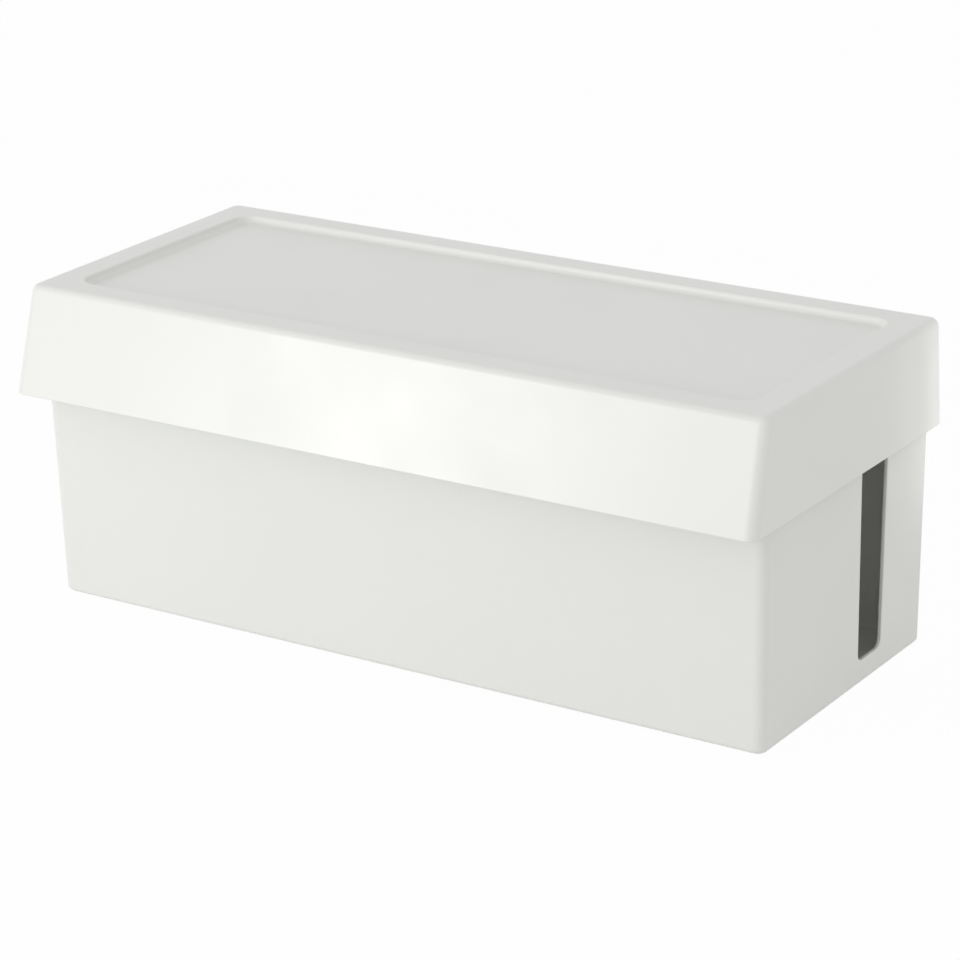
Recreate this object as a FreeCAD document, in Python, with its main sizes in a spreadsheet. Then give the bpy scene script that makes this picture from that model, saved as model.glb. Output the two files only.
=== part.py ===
import FreeCAD, Part
import os
import Sketcher
from FreeCAD import Vector

# Cable management box: a drafted tub with a cable slot in each end, a lift-off lid and four
# stick-on feet. Millimetres, +Z up. X runs along the box and the leaning front faces -Y. The
# origin lies on the table, at the middle of the lid's outline.

SIZES = {
    # The lid, measured over the outside of its skirt's lower edge
    "lid_length": 380.0,
    "lid_depth": 169.8,
    "total_height": 150.0,
    "skirt_height": 48.0,
    "lid_wall": 1.8,
    "lid_top_wall": 2.0,
    "lid_draft": 1.45,
    "front_lean": 16.2,
    "lid_corner": 4.8,
    "lid_top_round": 3.5,
    "skirt_foot_round": 0.5,
    "skirt_root_round": 0.8,
    # The recess in the lid's top, and the border that it leaves
    "border_end": 15.8,
    "border_side": 14.4,
    "recess_depth": 3.2,
    "recess_corner": 9.0,
    "recess_edge_round": 0.9,
    "recess_foot_round": 2.2,
    # Clearances between the tub's rim and the inside of the lid
    "lid_gap": 0.5,
    "lid_front_gap": 1.4,
    # The tub
    "tub_wall": 1.9,
    "tub_floor": 2.2,
    "tub_draft": 0.87,
    "tub_corner": 5.0,
    "tub_foot_round": 2.5,
    "tub_floor_round": 1.8,
    "rim_round": 0.5,
    # The cable slots, measured at the sill: both sides lean apart upwards
    "slot_offset": 22.3,
    "slot_width": 21.0,
    "slot_sill": 11.2,
    "slot_lean": 0.85,
    "slot_corner": 4.0,
    "slot_mouth_round": 3.0,
    # The stick-on feet and their seats under the floor
    "foot_diameter": 12.0,
    "foot_thickness": 1.6,
    "foot_stand": 1.0,
    "foot_inset": 15.0,
    "foot_clearance": 0.3,
    "foot_edge_round": 0.4,
    # What moulding leaves: ejector pin marks inside, and the gate's dimple under the floor
    "pin_diameter": 8.0,
    "pin_depth": 0.2,
    "pin_inset": 38.0,
    "gate_diameter": 9.0,
    "gate_depth": 0.5,
    "gate_stub_diameter": 2.4,
    "gate_stub_height": 0.3,
}

# Corner name, side along X, side along Y
CORNERS = [
    ("front_left", -1, -1),
    ("front_right", 1, -1),
    ("rear_left", -1, 1),
    ("rear_right", 1, 1),
]

TOLERANCE = 1e-4

doc = FreeCAD.newDocument("cable_management_box")
sheet = doc.addObject("Spreadsheet::Sheet", "Sizes")
for row, (alias, value) in enumerate(SIZES.items(), start=1):
    sheet.set(f"A{row}", alias.replace("_", " "))
    sheet.set(f"B{row}", str(value))
    sheet.setAlias(f"B{row}", alias)
doc.recompute()


# Lengths worked out from the sizes, written as expressions for the document

def of_sizes(text):
    """Put the sheet's name before every alias in an expression."""
    for alias in sorted(SIZES, key=len, reverse=True):
        text = text.replace(f"[{alias}]", f"Sizes.{alias}")
    return text


SKIRT_FOOT = of_sizes("([total_height] - [skirt_height])")
RIM = of_sizes("([total_height] - [lid_top_wall])")
LID_DRAFT = of_sizes("tan([lid_draft] * 1 deg)")
LID_LEAN = of_sizes("tan([front_lean] * 1 deg)")
TUB_DRAFT = of_sizes("tan([tub_draft] * 1 deg)")
FRONT_WALL = of_sizes("([lid_wall] / cos([front_lean] * 1 deg))")


def lid_end(height):
    """Distance from the middle of the box to the lid's end face at a height."""
    return of_sizes(f"([lid_length] / 2 - ({height} - {SKIRT_FOOT}) * {LID_DRAFT})")


def lid_rear(height):
    """Distance from the origin back to the lid's rear face at a height."""
    return of_sizes(f"([lid_depth] / 2 - ({height} - {SKIRT_FOOT}) * {LID_DRAFT})")


def lid_front(height):
    """Distance from the origin forward to the lid's leaning front face at a height."""
    return of_sizes(f"([lid_depth] / 2 - ({height} - {SKIRT_FOOT}) * {LID_LEAN})")


TOP = "Sizes.total_height"
TABLE_GAP = "Sizes.foot_stand"
RIM_END = of_sizes(f"({lid_end(RIM)} - [lid_wall] - [lid_gap])")
RIM_REAR = of_sizes(f"({lid_rear(RIM)} - [lid_wall] - [lid_gap])")
RIM_FRONT = of_sizes(f"({lid_front(RIM)} - {FRONT_WALL} - [lid_front_gap])")
TUB_MIDDLE = f"(({RIM_REAR} - {RIM_FRONT}) / 2)"


def below_rim(width, height):
    """A half width of the tub's rim, narrowed by the draft down to a height."""
    return f"({width} - ({RIM} - {height}) * {TUB_DRAFT})"


BOTTOM_END = below_rim(RIM_END, TABLE_GAP)
BOTTOM_REAR = below_rim(RIM_REAR, TABLE_GAP)
BOTTOM_FRONT = below_rim(RIM_FRONT, TABLE_GAP)
FLOOR_TOP = of_sizes("([foot_stand] + [tub_floor])")
RECESS_END = of_sizes(f"({lid_end(TOP)} - [border_end])")
RECESS_REAR = of_sizes(f"({lid_rear(TOP)} - [border_side])")
RECESS_FRONT = of_sizes(f"({lid_front(TOP)} - [border_side])")
RECESS_FLOOR = of_sizes("([total_height] - [recess_depth])")
PLUG_BOTTOM = of_sizes(f"({RIM} - [recess_depth])")


# Tools for building each moulding

def worked_out(expression):
    """The number that an expression of the sheet comes to."""
    return float(sheet.evalExpression(expression))


def new_body(name):
    body = doc.addObject("PartDesign::Body", name)
    body.Label = name
    return body


def new_sketch(body, name, role, height="0"):
    """An empty sketch on one of the body's own planes, lifted along that plane's normal."""
    sketch = body.newObject("Sketcher::SketchObject", name)
    plane = next(item for item in body.Origin.OriginFeatures if item.Role == role)
    sketch.AttachmentSupport = (plane, "")
    sketch.MapMode = "FlatFace"
    sketch.setExpression("AttachmentOffset.Base.z", height)
    return sketch


def bind(sketch, name, constraint, expression):
    """Add a named dimension to a sketch and tie it to the sheet."""
    index = sketch.addConstraint(constraint)
    sketch.renameConstraint(index, name)
    sketch.setExpression(f"Constraints.{name}", expression)


def draw_rectangle(body, name, height, end, front, rear):
    """A sketched rectangle, even about the YZ plane, at a height above the table."""
    sketch = new_sketch(body, name, "XY_Plane", height)
    corners = [Vector(-60, -40, 0), Vector(60, -40, 0), Vector(60, 40, 0), Vector(-60, 40, 0)]
    sides = [Part.LineSegment(corners[i], corners[(i + 1) % 4]) for i in range(4)]
    sketch.addGeometry(sides, False)
    for side in range(4):
        sketch.addConstraint(Sketcher.Constraint("Coincident", side, 2, (side + 1) % 4, 1))
    for side, rule in enumerate(("Horizontal", "Vertical", "Horizontal", "Vertical")):
        sketch.addConstraint(Sketcher.Constraint(rule, side))
    bind(sketch, "left_end", Sketcher.Constraint("DistanceX", 0, 1, -1, 1, 60), end)
    bind(sketch, "right_end", Sketcher.Constraint("DistanceX", -1, 1, 0, 2, 60), end)
    bind(sketch, "front_side", Sketcher.Constraint("DistanceY", 0, 1, -1, 1, 40), front)
    bind(sketch, "rear_side", Sketcher.Constraint("DistanceY", -1, 1, 2, 1, 40), rear)
    return sketch


def draw_circle(body, name, height, x, y, diameter):
    """A sketched circle whose centre is moved from the body's origin to x, y."""
    sketch = new_sketch(body, name, "XY_Plane", height)
    sketch.setExpression("AttachmentOffset.Base.x", x)
    sketch.setExpression("AttachmentOffset.Base.y", y)
    sketch.addGeometry(Part.Circle(Vector(0, 0, 0), Vector(0, 0, 1), 5), False)
    sketch.addConstraint(Sketcher.Constraint("Coincident", 0, 3, -1, 1))
    bind(sketch, "across", Sketcher.Constraint("Diameter", 0, 10), diameter)
    return sketch


def extrude(body, kind, name, sketch, length, reverse=False):
    """A Pad or Pocket of a sketch."""
    feature = body.newObject(f"PartDesign::{kind}", name)
    feature.Profile = sketch
    feature.setExpression("Length", length)
    feature.Reversed = reverse
    doc.recompute()
    return feature


def draw_quadrilaterals(body, name, role, low, high, shapes):
    """Level-topped quadrilaterals, each given by its low left, low right, high right and high left."""
    sketch = new_sketch(body, name, role)
    for number, places in enumerate(shapes):
        first = 4 * number
        start = sum(worked_out(place) for place in places) / 4
        width = worked_out(places[1]) - worked_out(places[0])
        points = [
            Vector(start - width / 2, 10, 0), Vector(start + width / 2, 10, 0),
            Vector(start + width / 2, 90, 0), Vector(start - width / 2, 90, 0),
        ]
        sketch.addGeometry([Part.LineSegment(points[i], points[(i + 1) % 4]) for i in range(4)], False)
        for side in range(4):
            sketch.addConstraint(
                Sketcher.Constraint("Coincident", first + side, 2, first + (side + 1) % 4, 1)
            )
        for side in (0, 2):
            sketch.addConstraint(Sketcher.Constraint("Horizontal", first + side))
        bind(sketch, f"low_{number}", Sketcher.Constraint("DistanceY", -1, 1, first, 1, 10), low)
        bind(sketch, f"high_{number}", Sketcher.Constraint("DistanceY", -1, 1, first + 2, 1, 90), high)
        for corner, place in enumerate(places):
            bind(
                sketch, f"place_{number}_{corner}",
                Sketcher.Constraint("DistanceX", -1, 1, first + corner, 1, points[corner].x), place,
            )
    return sketch


def cut_through(body, name, sketch, length):
    """Cut a sketch out of the body, evenly to both sides of its plane."""
    feature = body.newObject("PartDesign::Pocket", name)
    feature.Profile = sketch
    feature.SideType = "Symmetric"
    feature.setExpression("Length", length)
    doc.recompute()
    return feature


def drafted_block(body, low, high, end, front, rear):
    """A block whose end, front and rear are set by functions of the height: every side is flat."""
    tag = body.Name
    section = draw_quadrilaterals(
        body, f"{tag}_section", "YZ_Plane", low, high,
        [(f"-{front(low)}", rear(low), rear(high), f"-{front(high)}")],
    )
    block = body.newObject("PartDesign::Pad", f"{tag}_block")
    block.Profile = section
    block.SideType = "Symmetric"
    block.setExpression("Length", "Sizes.lid_length + 4 * Sizes.lid_wall")
    doc.recompute()
    beyond = "Sizes.lid_length"
    ends = draw_quadrilaterals(
        body, f"{tag}_end_lines", "XZ_Plane", low, high,
        [
            (end(low), beyond, beyond, end(high)),
            (f"-{beyond}", f"-{end(low)}", f"-{end(high)}", f"-{beyond}"),
        ],
    )
    cut_through(body, f"{tag}_ends", ends, "2 * Sizes.lid_depth")


def hollow_out(body, core):
    """Take a core away from a moulding, as the tool's core does."""
    hollow = body.newObject("PartDesign::Boolean", f"{body.Name}_hollow")
    hollow.Type = "Cut"
    hollow.setObjects([core])
    doc.recompute()


def flat_face(shape, height):
    """The largest level face of a shape at a height."""
    faces = [
        face for face in shape.Faces
        if abs(face.BoundBox.ZMin - height) < TOLERANCE
        and abs(face.BoundBox.ZMax - height) < TOLERANCE
    ]
    return max(faces, key=lambda face: face.Area)


def names_of(shape, wanted):
    """The names of the edges of a shape that are in a list of edges."""
    return [
        f"Edge{number}" for number, edge in enumerate(shape.Edges, start=1)
        if any(edge.isSame(other) for other in wanted)
    ]


def outer_edges(shape, height):
    """The edges round the outside of the level face at a height."""
    face = flat_face(shape, worked_out(height))
    return names_of(shape, face.OuterWire.Edges)


def inner_edges(shape, height):
    """The edges of the holes in the level face at a height."""
    face = flat_face(shape, worked_out(height))
    holes = [wire for wire in face.Wires if not wire.isSame(face.OuterWire)]
    return names_of(shape, [edge for wire in holes for edge in wire.Edges])


def rising_edges(shape, low, high):
    """The edges that climb from one height to another, such as a moulding's corners."""
    bottom, top = worked_out(low), worked_out(high)
    rising = [
        edge for edge in shape.Edges
        if abs(edge.BoundBox.ZMin - bottom) < TOLERANCE
        and abs(edge.BoundBox.ZMax - top) < TOLERANCE
    ]
    return names_of(shape, rising)


def crossing_edges(shape, height):
    """The short edges at a height that cross the tub's end walls along X."""
    level = worked_out(height)
    reach = 2 * worked_out("Sizes.tub_wall")
    crossing = [
        edge for edge in shape.Edges
        if abs(edge.BoundBox.ZMin - level) < TOLERANCE
        and abs(edge.BoundBox.ZMax - level) < TOLERANCE
        and edge.BoundBox.YLength < TOLERANCE
        and edge.BoundBox.XLength < reach
    ]
    return names_of(shape, crossing)


def round_off(body, name, pick, radius):
    """Round the edges of the body's last feature that pick finds."""
    last = body.Tip
    fillet = body.newObject("PartDesign::Fillet", name)
    fillet.Base = (last, pick(last.Shape))
    fillet.setExpression("Radius", radius)
    doc.recompute()
    return fillet


# Base box: a tub that widens towards its rim, open at the top

base_box = new_body("base_box")
drafted_block(
    base_box, TABLE_GAP, RIM,
    lambda height: below_rim(RIM_END, height),
    lambda height: below_rim(RIM_FRONT, height),
    lambda height: below_rim(RIM_REAR, height),
)
round_off(base_box, "tub_corners", lambda shape: rising_edges(shape, TABLE_GAP, RIM), "Sizes.tub_corner")

tub_core = new_body("tub_core")
drafted_block(
    tub_core, FLOOR_TOP, RIM,
    lambda height: below_rim(f"({RIM_END} - Sizes.tub_wall)", height),
    lambda height: below_rim(f"({RIM_FRONT} - Sizes.tub_wall)", height),
    lambda height: below_rim(f"({RIM_REAR} - Sizes.tub_wall)", height),
)
round_off(
    tub_core, "tub_core_corners",
    lambda shape: rising_edges(shape, FLOOR_TOP, RIM), "Sizes.tub_corner - Sizes.tub_wall",
)
round_off(
    tub_core, "tub_core_foot", lambda shape: outer_edges(shape, FLOOR_TOP), "Sizes.tub_floor_round"
)
hollow_out(base_box, tub_core)

# The slots are one cut from end to end, open at the rim so that plugs need not pass through
SLOT_SILL = of_sizes("([foot_stand] + [slot_sill])")
SLOT_TOP = of_sizes(f"({RIM} + [lid_top_wall])")
SLOT_FRONT = of_sizes(f"({TUB_MIDDLE} + [slot_offset] - [slot_width] / 2)")
SLOT_REAR = of_sizes(f"({TUB_MIDDLE} + [slot_offset] + [slot_width] / 2)")
SLOT_SPREAD = of_sizes(f"({SLOT_TOP} - {SLOT_SILL}) * tan([slot_lean] * 1 deg)")
slot_outline = draw_quadrilaterals(
    base_box, "slot_outline", "YZ_Plane", SLOT_SILL, SLOT_TOP,
    [(SLOT_FRONT, SLOT_REAR, f"{SLOT_REAR} + {SLOT_SPREAD}", f"{SLOT_FRONT} - {SLOT_SPREAD}")],
)
cut_through(base_box, "slots", slot_outline, "Sizes.lid_length")
round_off(base_box, "slot_corners", lambda shape: crossing_edges(shape, SLOT_SILL), "Sizes.slot_corner")
round_off(base_box, "slot_mouths", lambda shape: crossing_edges(shape, RIM), "Sizes.slot_mouth_round")


def rim_line(shape):
    """The edges along the rim and down round the slots, inside and out, but none across the wall."""
    rim, sill = worked_out(RIM), worked_out(SLOT_SILL)
    front = worked_out(f"{SLOT_FRONT} - {SLOT_SPREAD} - Sizes.slot_mouth_round")
    rear = worked_out(f"{SLOT_REAR} + {SLOT_SPREAD} + Sizes.slot_mouth_round")
    line = []
    for edge in shape.Edges:
        box = edge.BoundBox
        at_rim = abs(box.ZMin - rim) < TOLERANCE
        at_slot = box.ZMin > sill - TOLERANCE and box.YMin > front - TOLERANCE and box.YMax < rear + TOLERANCE
        if at_rim or (at_slot and box.XLength < max(box.YLength, box.ZLength)):
            line.append(edge)
    across = crossing_edges(shape, RIM)
    return [name for name in names_of(shape, line) if name not in across]


round_off(base_box, "rim_softening", rim_line, "Sizes.rim_round")
round_off(base_box, "tub_foot", lambda shape: outer_edges(shape, TABLE_GAP), "Sizes.tub_foot_round")

# Round seats under the floor for the feet
FOOT_X = of_sizes(f"({BOTTOM_END} - [foot_inset])")
FOOT_FRONT_Y = of_sizes(f"({BOTTOM_FRONT} - [foot_inset])")
FOOT_REAR_Y = of_sizes(f"({BOTTOM_REAR} - [foot_inset])")
SEAT_DIAMETER = of_sizes("[foot_diameter] + 2 * [foot_clearance]")
SEAT_DEPTH = of_sizes("[foot_thickness] - [foot_stand]")


def foot_place(side_x, side_y):
    x = f"{side_x} * {FOOT_X}"
    y = FOOT_REAR_Y if side_y > 0 else f"-{FOOT_FRONT_Y}"
    return x, y


for corner, side_x, side_y in CORNERS:
    x, y = foot_place(side_x, side_y)
    seat = draw_circle(base_box, f"seat_outline_{corner}", TABLE_GAP, x, y, SEAT_DIAMETER)
    extrude(base_box, "Pocket", f"seat_{corner}", seat, SEAT_DEPTH, reverse=True)

# Ejector pin marks on the floor inside, one near each corner and one at the middle of each long side
for corner, side_x, side_y in CORNERS + [("front_middle", 0, -1), ("rear_middle", 0, 1)]:
    x = of_sizes(f"{side_x} * ({BOTTOM_END} - [pin_inset])")
    y = of_sizes(f"{TUB_MIDDLE} + {side_y} * (({BOTTOM_REAR} + {BOTTOM_FRONT}) / 2 - [pin_inset])")
    mark = draw_circle(base_box, f"pin_outline_{corner}", FLOOR_TOP, x, y, "Sizes.pin_diameter")
    extrude(base_box, "Pocket", f"pin_mark_{corner}", mark, "Sizes.pin_depth")

# The gate's dimple in the middle of the underside, with the stub that trimming leaves
dimple = draw_circle(base_box, "dimple_outline", TABLE_GAP, "0", TUB_MIDDLE, "Sizes.gate_diameter")
extrude(base_box, "Pocket", "gate_dimple", dimple, "Sizes.gate_depth", reverse=True)
DIMPLE_ROOF = of_sizes("([foot_stand] + [gate_depth])")
stub = draw_circle(base_box, "stub_outline", DIMPLE_ROOF, "0", TUB_MIDDLE, "Sizes.gate_stub_diameter")
extrude(base_box, "Pad", "gate_stub", stub, "Sizes.gate_stub_height", reverse=True)

# Lid: a skirted shell whose front leans out, and whose top is recessed inside a flat border

lid = new_body("lid")
drafted_block(lid, SKIRT_FOOT, TOP, lid_end, lid_front, lid_rear)
round_off(lid, "lid_corners", lambda shape: rising_edges(shape, SKIRT_FOOT, TOP), "Sizes.lid_corner")
recess_outline = draw_rectangle(lid, "recess_outline", TOP, RECESS_END, RECESS_FRONT, RECESS_REAR)
extrude(lid, "Pocket", "recess", recess_outline, "Sizes.recess_depth")
round_off(
    lid, "recess_corners", lambda shape: rising_edges(shape, RECESS_FLOOR, TOP), "Sizes.recess_corner"
)
round_off(lid, "lid_top_edge", lambda shape: outer_edges(shape, TOP), "Sizes.lid_top_round")
round_off(lid, "recess_edge", lambda shape: inner_edges(shape, TOP), "Sizes.recess_edge_round")
round_off(lid, "recess_foot", lambda shape: outer_edges(shape, RECESS_FLOOR), "Sizes.recess_foot_round")
round_off(lid, "skirt_foot", lambda shape: outer_edges(shape, SKIRT_FOOT), "Sizes.skirt_foot_round")

# Under the recess the top keeps its thickness, so it drops inside the tub's rim like a plug
lid_core = new_body("lid_core")
drafted_block(
    lid_core, SKIRT_FOOT, RIM,
    lambda height: f"({lid_end(height)} - Sizes.lid_wall)",
    lambda height: f"({lid_front(height)} - {FRONT_WALL})",
    lambda height: f"({lid_rear(height)} - Sizes.lid_wall)",
)
round_off(
    lid_core, "lid_core_corners",
    lambda shape: rising_edges(shape, SKIRT_FOOT, RIM), "Sizes.lid_corner - Sizes.lid_wall",
)
plug_outline = draw_rectangle(
    lid_core, "plug_outline", RIM, f"{RECESS_END} + Sizes.lid_wall",
    f"{RECESS_FRONT} + Sizes.lid_wall", f"{RECESS_REAR} + Sizes.lid_wall",
)
extrude(lid_core, "Pocket", "plug", plug_outline, "Sizes.recess_depth")
round_off(
    lid_core, "plug_corners",
    lambda shape: rising_edges(shape, PLUG_BOTTOM, RIM), "Sizes.recess_corner + Sizes.lid_wall",
)
round_off(lid_core, "skirt_root", lambda shape: outer_edges(shape, RIM), "Sizes.skirt_root_round")
round_off(lid_core, "plug_root", lambda shape: inner_edges(shape, RIM), "Sizes.recess_edge_round")
round_off(lid_core, "plug_foot", lambda shape: outer_edges(shape, PLUG_BOTTOM), "Sizes.recess_foot_round")
hollow_out(lid, lid_core)
round_off(lid, "skirt_foot_inside", lambda shape: inner_edges(shape, SKIRT_FOOT), "Sizes.skirt_foot_round")

# Ejector pin marks under the recess
for corner, side_x, side_y in CORNERS + [("front_middle", 0, -1), ("rear_middle", 0, 1)]:
    x = of_sizes(f"{side_x} * ({RECESS_END} - [pin_inset])")
    y = of_sizes(
        f"({RECESS_REAR} - {RECESS_FRONT}) / 2"
        f" + {side_y} * (({RECESS_REAR} + {RECESS_FRONT}) / 2 - [pin_inset])"
    )
    mark = draw_circle(lid, f"lid_pin_outline_{corner}", PLUG_BOTTOM, x, y, "Sizes.pin_diameter")
    extrude(lid, "Pocket", f"lid_pin_mark_{corner}", mark, "Sizes.pin_depth", reverse=True)

# Feet: round pads that stand proud of their seats

feet = []
for corner, side_x, side_y in CORNERS:
    x, y = foot_place(side_x, side_y)
    foot = new_body(f"foot_{corner}")
    disc = draw_circle(foot, f"foot_outline_{corner}", "0", x, y, "Sizes.foot_diameter")
    extrude(foot, "Pad", f"foot_disc_{corner}", disc, "Sizes.foot_thickness")
    round_off(foot, f"foot_edge_{corner}", lambda shape: outer_edges(shape, "0"), "Sizes.foot_edge_round")
    feet.append(foot)

doc.recompute()

# Every object is checked before any file is written

for item in doc.Objects:
    if "Invalid" in item.State or "Error" in item.State:
        raise RuntimeError(f"{item.Label} failed: {item.State}")

os.makedirs("parts", exist_ok=True)
for piece in [base_box, lid] + feet:
    shape = piece.Shape
    if shape.isNull() or not shape.isValid() or len(shape.Solids) != 1:
        raise RuntimeError(f"{piece.Label} is not one valid solid")

for piece in [base_box, lid] + feet:
    piece.Shape.exportStep(f"parts/{piece.Label}.step")
    print(f"{piece.Label}: {piece.Shape.Volume / 1000:.2f} cm3, {len(piece.Shape.Faces)} faces")
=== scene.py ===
# %% [markdown]
# # A white cable management box, dressed around its CAD frame
# The real object is two injection mouldings in white polypropylene and four stick-on pads.
# Everything with a size was drawn in CAD, so this notebook adds what CAD leaves out: the finish
# of each surface, the studio light that shows it, and a camera at the photograph's angle.
# One could rebuild the shells as Blender meshes, but their flat walls and small rounds are
# exactly what CAD draws best, so the CAD nodes stay and get real materials.

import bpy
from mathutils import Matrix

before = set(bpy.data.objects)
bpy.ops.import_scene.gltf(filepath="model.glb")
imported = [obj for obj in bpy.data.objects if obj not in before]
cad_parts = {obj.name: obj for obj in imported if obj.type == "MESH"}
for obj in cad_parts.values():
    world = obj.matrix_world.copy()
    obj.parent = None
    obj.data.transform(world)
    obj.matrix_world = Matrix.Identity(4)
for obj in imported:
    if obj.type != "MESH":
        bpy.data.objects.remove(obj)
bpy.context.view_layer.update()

# %% Libraries and the unit
import math

import bpy
from mathutils import Matrix, Vector

MM = 0.001
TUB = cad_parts["base_box"]
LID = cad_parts["lid"]
FEET = [node for name, node in sorted(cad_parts.items()) if name.startswith("foot_")]
print("feet", [foot.name for foot in FEET])

# %% [markdown]
# ## Camera
# The photograph was taken with a long lens, standing to the right of the box and looking down on
# it. Its place was worked out by fitting the box's straight edges, so it is written here as a
# place in millimetres and three angles. A tracking constraint would be shorter, but it can't hold
# the small roll of the picture, so the three axes of the camera are built by hand.

# %% Camera at the photograph's angle
CAMERA_PLACE = Vector((811.5, -1217.3, 600.8)) * MM
CAMERA_YAW = math.radians(33.53)
CAMERA_PITCH = math.radians(20.02)
CAMERA_ROLL = math.radians(-1.31)
FRAME_PIXELS = 960
FOCAL_PIXELS = 3495
SENSOR_MM = 36.0

level_right = Vector((math.cos(CAMERA_YAW), math.sin(CAMERA_YAW), 0))
looking = Vector((
    -math.sin(CAMERA_YAW) * math.cos(CAMERA_PITCH),
    math.cos(CAMERA_YAW) * math.cos(CAMERA_PITCH),
    -math.sin(CAMERA_PITCH),
))
level_up = level_right.cross(looking)
right = math.cos(CAMERA_ROLL) * level_right + math.sin(CAMERA_ROLL) * level_up
up = right.cross(looking)

lens = bpy.data.cameras.new("photo_camera")
lens.sensor_width = SENSOR_MM
lens.lens = FOCAL_PIXELS / FRAME_PIXELS * SENSOR_MM
camera = bpy.data.objects.new("photo_camera", lens)
bpy.context.scene.collection.objects.link(camera)
camera.matrix_world = Matrix((right, up, -looking)).transposed().to_4x4()
camera.location = CAMERA_PLACE
bpy.context.scene.camera = camera
print("lens", round(lens.lens, 1), "mm")

# %% [markdown]
# ## Helpers for materials
# Colours are easiest to read as the hex values a designer would pick, but shaders work in linear
# light, so one function turns one into the other. Node trees are built by a second small function
# that adds a node, sets what is plain and wires what is linked, so each material stays short.

# %% Colour and node helpers
def linear(hex_colour):
    """An sRGB hex colour as linear red, green, blue and full opacity."""
    channels = [int(hex_colour[i:i + 2], 16) / 255 for i in (1, 3, 5)]
    curve = [c / 12.92 if c <= 0.04045 else ((c + 0.055) / 1.055) ** 2.4 for c in channels]
    return (*curve, 1.0)


def add(tree, kind, settings=None, values=None, links=None):
    """Add one node: its settings, the plain values of its inputs and the links into them."""
    node = tree.nodes.new(kind)
    for name, value in (settings or {}).items():
        setattr(node, name, value)
    for socket, value in (values or {}).items():
        node.inputs[socket].default_value = value
    for socket, source in (links or {}).items():
        tree.links.new(source, node.inputs[socket])
    return node


def new_material(name):
    """An empty material with its node tree."""
    material = bpy.data.materials.new(name)
    material.use_nodes = True
    material.node_tree.nodes.clear()
    return material, material.node_tree


WHITE = linear("#FFFFFF")
print("white is", WHITE)

# %% [markdown]
# ## Moulded polypropylene
# Polypropylene is the white, slightly waxy plastic of household boxes. It is moulded against a
# finely eroded steel wall, which gives an even half-matt skin: light spreads over it in wide soft
# patches and only a bright lamp shows as a glow. Three things make it look real. The eroded grain
# scatters the glow, the wall shrinks a little unevenly as it cools, so that the glow's edge
# wanders, and handling polishes it unevenly, so that its roughness changes slowly.
# The real grain is about 0.05 mm. It is drawn at 0.8 mm and very shallow, because finer grain
# would vanish between the picture's pixels.

# %% Polypropylene material
GRAIN_MM = 0.8
GRAIN_HEIGHT_MM = 0.0035
SHRINK_MM = 70.0
SHRINK_HEIGHT_MM = 0.05
HANDLING_MM = 45.0
POLISH_SPREAD = 0.03
NOISE_LOW = 0.3
NOISE_HIGH = 0.7
POLYPROPYLENE_IOR = 1.49
# Where Blender's Mix node keeps its share, its two colours and the mixed one
MIX_SHARE, MIX_FIRST, MIX_SECOND, MIX_RESULT = 0, 6, 7, 2


def moulded_polypropylene(name, colour, shade, roughness):
    """White polypropylene: its colour drifts from colour to shade, and roughness is its mean."""
    material, tree = new_material(name)
    place = {"Vector": add(tree, "ShaderNodeTexCoord").outputs["Object"]}
    handling = add(tree, "ShaderNodeTexNoise", values={"Scale": 1 / (HANDLING_MM * MM)}, links=place)
    tint = add(
        tree, "ShaderNodeMix", {"data_type": "RGBA"},
        {MIX_FIRST: linear(colour), MIX_SECOND: linear(shade)}, {MIX_SHARE: handling.outputs["Fac"]},
    )
    polish = add(
        tree, "ShaderNodeMapRange",
        values={
            "From Min": NOISE_LOW, "From Max": NOISE_HIGH,
            "To Min": roughness - POLISH_SPREAD, "To Max": roughness + POLISH_SPREAD,
        },
        links={"Value": handling.outputs["Fac"]},
    )
    waves = add(
        tree, "ShaderNodeTexNoise", values={"Scale": 1 / (SHRINK_MM * MM), "Detail": 0.0}, links=place,
    )
    shrink = add(
        tree, "ShaderNodeBump", values={"Strength": 1.0, "Distance": SHRINK_HEIGHT_MM * MM},
        links={"Height": waves.outputs["Fac"]},
    )
    erosion = add(tree, "ShaderNodeTexNoise", values={"Scale": 1 / (GRAIN_MM * MM)}, links=place)
    grain = add(
        tree, "ShaderNodeBump", values={"Strength": 1.0, "Distance": GRAIN_HEIGHT_MM * MM},
        links={"Height": erosion.outputs["Fac"], "Normal": shrink.outputs["Normal"]},
    )
    surface = add(
        tree, "ShaderNodeBsdfPrincipled", values={"IOR": POLYPROPYLENE_IOR},
        links={
            "Base Color": tint.outputs[MIX_RESULT], "Roughness": polish.outputs["Result"],
            "Normal": grain.outputs["Normal"],
        },
    )
    add(tree, "ShaderNodeOutputMaterial", links={"Surface": surface.outputs["BSDF"]})
    return material


lid_plastic = moulded_polypropylene(
    "white_polypropylene_moulded_lid", colour="#F1F2EE", shade="#EFF0EC", roughness=0.31,
)
tub_plastic = moulded_polypropylene(
    "white_polypropylene_moulded_tub", colour="#F0F1ED", shade="#EEEFEB", roughness=0.40,
)
print("plastics", lid_plastic.name, tub_plastic.name)

# %% [markdown]
# ## Foot pads
# The pads are die-cut from a sheet of grey thermoplastic elastomer with glue on its back. Cutting
# leaves a sharp side and the sheet keeps a dry, slightly pitted face that grips the table. A
# rough surface with small dimples says that; nothing on it shines.

# %% Elastomer material
PIT_MM = 0.6
PIT_HEIGHT_MM = 0.02
ELASTOMER_IOR = 1.5
ELASTOMER_ROUGHNESS = 0.8


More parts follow.
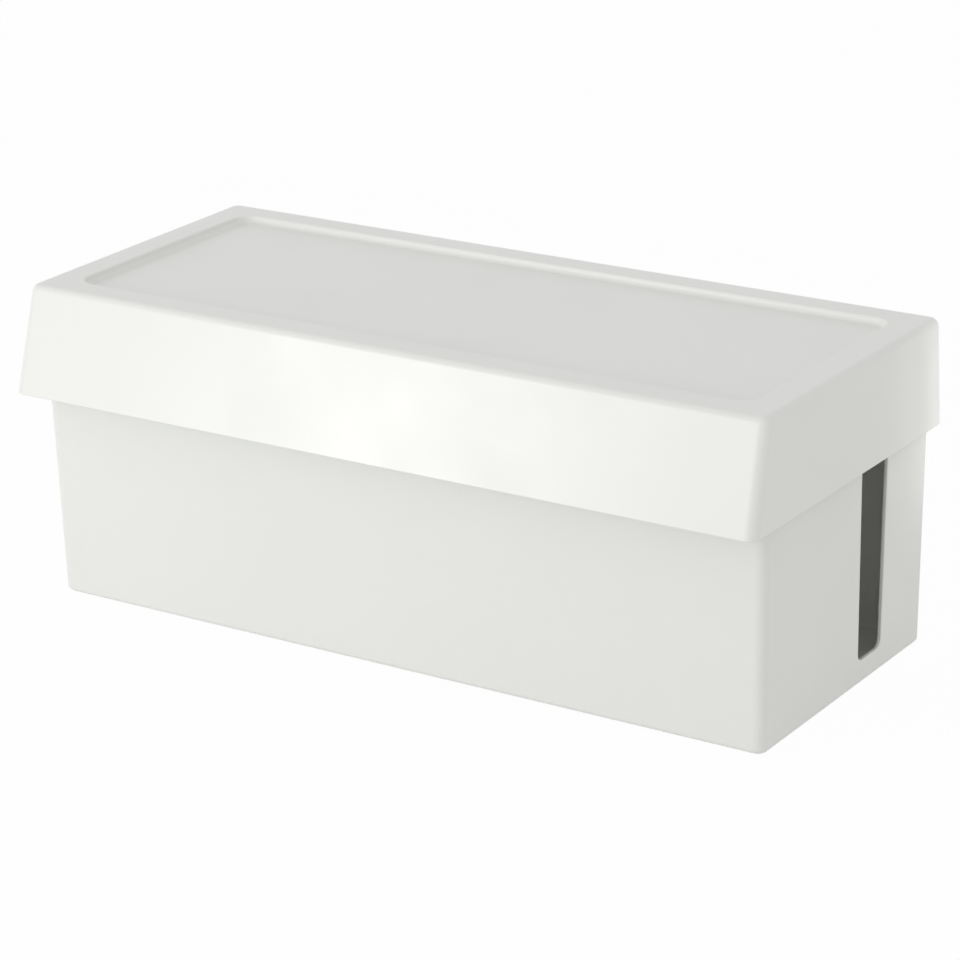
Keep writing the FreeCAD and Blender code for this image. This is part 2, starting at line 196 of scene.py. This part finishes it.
def cut_elastomer(name, colour):
    """Matt elastomer sheet with a pitted face."""
    material, tree = new_material(name)
    place = {"Vector": add(tree, "ShaderNodeTexCoord").outputs["Object"]}
    pitting = add(tree, "ShaderNodeTexNoise", values={"Scale": 1 / (PIT_MM * MM)}, links=place)
    pits = add(
        tree, "ShaderNodeBump", values={"Strength": 1.0, "Distance": PIT_HEIGHT_MM * MM},
        links={"Height": pitting.outputs["Fac"]},
    )
    surface = add(
        tree, "ShaderNodeBsdfPrincipled",
        values={
            "Base Color": linear(colour), "Roughness": ELASTOMER_ROUGHNESS, "IOR": ELASTOMER_IOR,
        },
        links={"Normal": pits.outputs["Normal"]},
    )
    add(tree, "ShaderNodeOutputMaterial", links={"Surface": surface.outputs["BSDF"]})
    return material


pad_material = cut_elastomer("grey_elastomer_die_cut_pad", "#B9B9B5")
print("pads", pad_material.name)

# %% [markdown]
# ## Dressing the pieces
# Each piece is one material right through: nothing on the box is painted, printed or plated. So
# the CAD nodes keep their meshes and their slots, and every slot of a piece takes the same finish.

# %% Give each node its finish
def finish_node(node, material):
    """Put one material in every slot of a CAD node."""
    for slot in node.material_slots:
        slot.material = material
    if not node.material_slots:
        node.data.materials.append(material)


finish_node(TUB, tub_plastic)
finish_node(LID, lid_plastic)
for foot in FEET:
    finish_node(foot, pad_material)
print("slots", {node.name: len(node.material_slots) for node in (TUB, LID, *FEET)})

# %% [markdown]
# ## Floor
# The photograph shows nothing but white around the box, with no shadow to be seen. A white paper
# floor does that. To the camera, and in reflections, nearly all of its light is its own, so that
# it stays white wherever the lamps are, and only a trace of the box's shadow is left. To every
# other ray it is ordinary paper that throws light back up at the box. A lower share of its own
# light would show more of the shadow, on a greyer floor.

# %% Paper floor
FLOOR_SIZE = 12.0
PAPER_GLOW_SHARE = 0.97


def seen_rays(tree):
    """The socket that is 1 for rays that show a surface, directly, mirrored or through glass."""
    path = add(tree, "ShaderNodeLightPath")
    plain_or_mirrored = add(
        tree, "ShaderNodeMath", {"operation": "MAXIMUM"},
        links={0: path.outputs["Is Camera Ray"], 1: path.outputs["Is Glossy Ray"]},
    )
    seen = add(
        tree, "ShaderNodeMath", {"operation": "MAXIMUM"},
        links={0: plain_or_mirrored.outputs["Value"], 1: path.outputs["Is Transmission Ray"]},
    )
    return seen.outputs["Value"]


def paper(name):
    """White paper whose look to the camera is mostly its own plain white."""
    material, tree = new_material(name)
    share = add(
        tree, "ShaderNodeMath", {"operation": "MULTIPLY"}, {1: PAPER_GLOW_SHARE},
        {0: seen_rays(tree)},
    )
    sheet = add(tree, "ShaderNodeBsdfDiffuse", values={"Color": linear("#F4F4F3")})
    glow = add(tree, "ShaderNodeEmission", values={"Color": WHITE, "Strength": 1.0})
    look = add(
        tree, "ShaderNodeMixShader",
        links={0: share.outputs["Value"], 1: sheet.outputs["BSDF"], 2: glow.outputs["Emission"]},
    )
    add(tree, "ShaderNodeOutputMaterial", links={"Surface": look.outputs["Shader"]})
    return material


floor_mesh = bpy.data.meshes.new("paper_floor")
half = FLOOR_SIZE / 2
floor_mesh.from_pydata(
    [(-half, -half, 0), (half, -half, 0), (half, half, 0), (-half, half, 0)], [], [(0, 1, 2, 3)]
)
floor = bpy.data.objects.new("paper_floor", floor_mesh)
floor_mesh.materials.append(paper("white_paper_matt_floor"))
bpy.context.scene.collection.objects.link(floor)
print("floor", FLOOR_SIZE, "m across")

# %% [markdown]
# ## Light
# White plastic is shaped by small differences in light, so the room does most of the work: an
# even pale world that lights every side. The lamps only shift the balance between the faces.
# Stronger lamps would be simpler, but they would clip the white front and flatten it.

# %% World
ROOM_LEVEL = 0.65

world = bpy.data.worlds.new("white_studio")
bpy.context.scene.world = world
world.use_nodes = True
sky = world.node_tree
sky.nodes.clear()
level = add(
    sky, "ShaderNodeMapRange", values={"To Min": ROOM_LEVEL, "To Max": 1.0},
    links={"Value": seen_rays(sky)},
)
room = add(
    sky, "ShaderNodeBackground", values={"Color": WHITE},
    links={"Strength": level.outputs["Result"]},
)
add(sky, "ShaderNodeOutputWorld", links={"Surface": room.outputs["Background"]})
print("room level", ROOM_LEVEL)

# %% [markdown]
# ## Softboxes
# A small softbox stands near the box at the front left: it is what glows in the leaning front of
# the lid, and being near keeps that glow in the middle. A wide one further off lifts the two
# front faces above the top and the end, and a weak one on the right keeps the skirt's shadow on
# the end pale. A narrow strip beside the rear right edge gives the end its bright border.
# The photograph's slot is dark grey and not black. That may be daylight that the thin white walls
# let through, so one very weak lamp under the lid stands in for it. Scattering light through the
# walls would be truer, but takes far more samples to come out clean.

# %% Softboxes
LID_FRONT = (-0.05, -0.08, 0.125)
RIGHT_END = (0.186, 0.0, 0.08)


def softbox(name, place, aim, size, watts):
    """A rectangular lamp, width and height in metres, that faces a point and isn't seen itself."""
    lamp = bpy.data.lights.new(name, "AREA")
    lamp.shape = "RECTANGLE"
    lamp.size, lamp.size_y = size
    lamp.energy = watts
    holder = bpy.data.objects.new(name, lamp)
    holder.location = place
    direction = Vector(aim) - Vector(place)
    holder.rotation_euler = direction.to_track_quat("-Z", "Y").to_euler()
    holder.visible_camera = False
    bpy.context.scene.collection.objects.link(holder)


softbox("front_left_softbox", place=(-0.485, -0.85, 0.25), aim=LID_FRONT, size=(0.2, 0.2), watts=1.12)
softbox("front_fill", place=(-0.7, -2.2, 0.7), aim=LID_FRONT, size=(1.8, 1.0), watts=9.0)
softbox("right_fill", place=(2.0, 0.1, 0.35), aim=RIGHT_END, size=(1.4, 0.7), watts=1.2)
softbox(
    "rear_right_strip", place=(0.206, 0.08, 0.11), aim=(0.0, 0.08, 0.11),
    size=(0.01, 0.09), watts=0.0024,
)
softbox(
    "light_through_the_walls", place=(0.0, 0.01, 0.135), aim=(0.0, 0.01, 0.0),
    size=(0.3, 0.1), watts=0.009,
)

# %% [markdown]
# ## Colour handling and the last lines
# The picture's colours should come out as they were chosen, so the view transform is Standard.

# %% Finish
bpy.context.scene.view_settings.view_transform = "Standard"
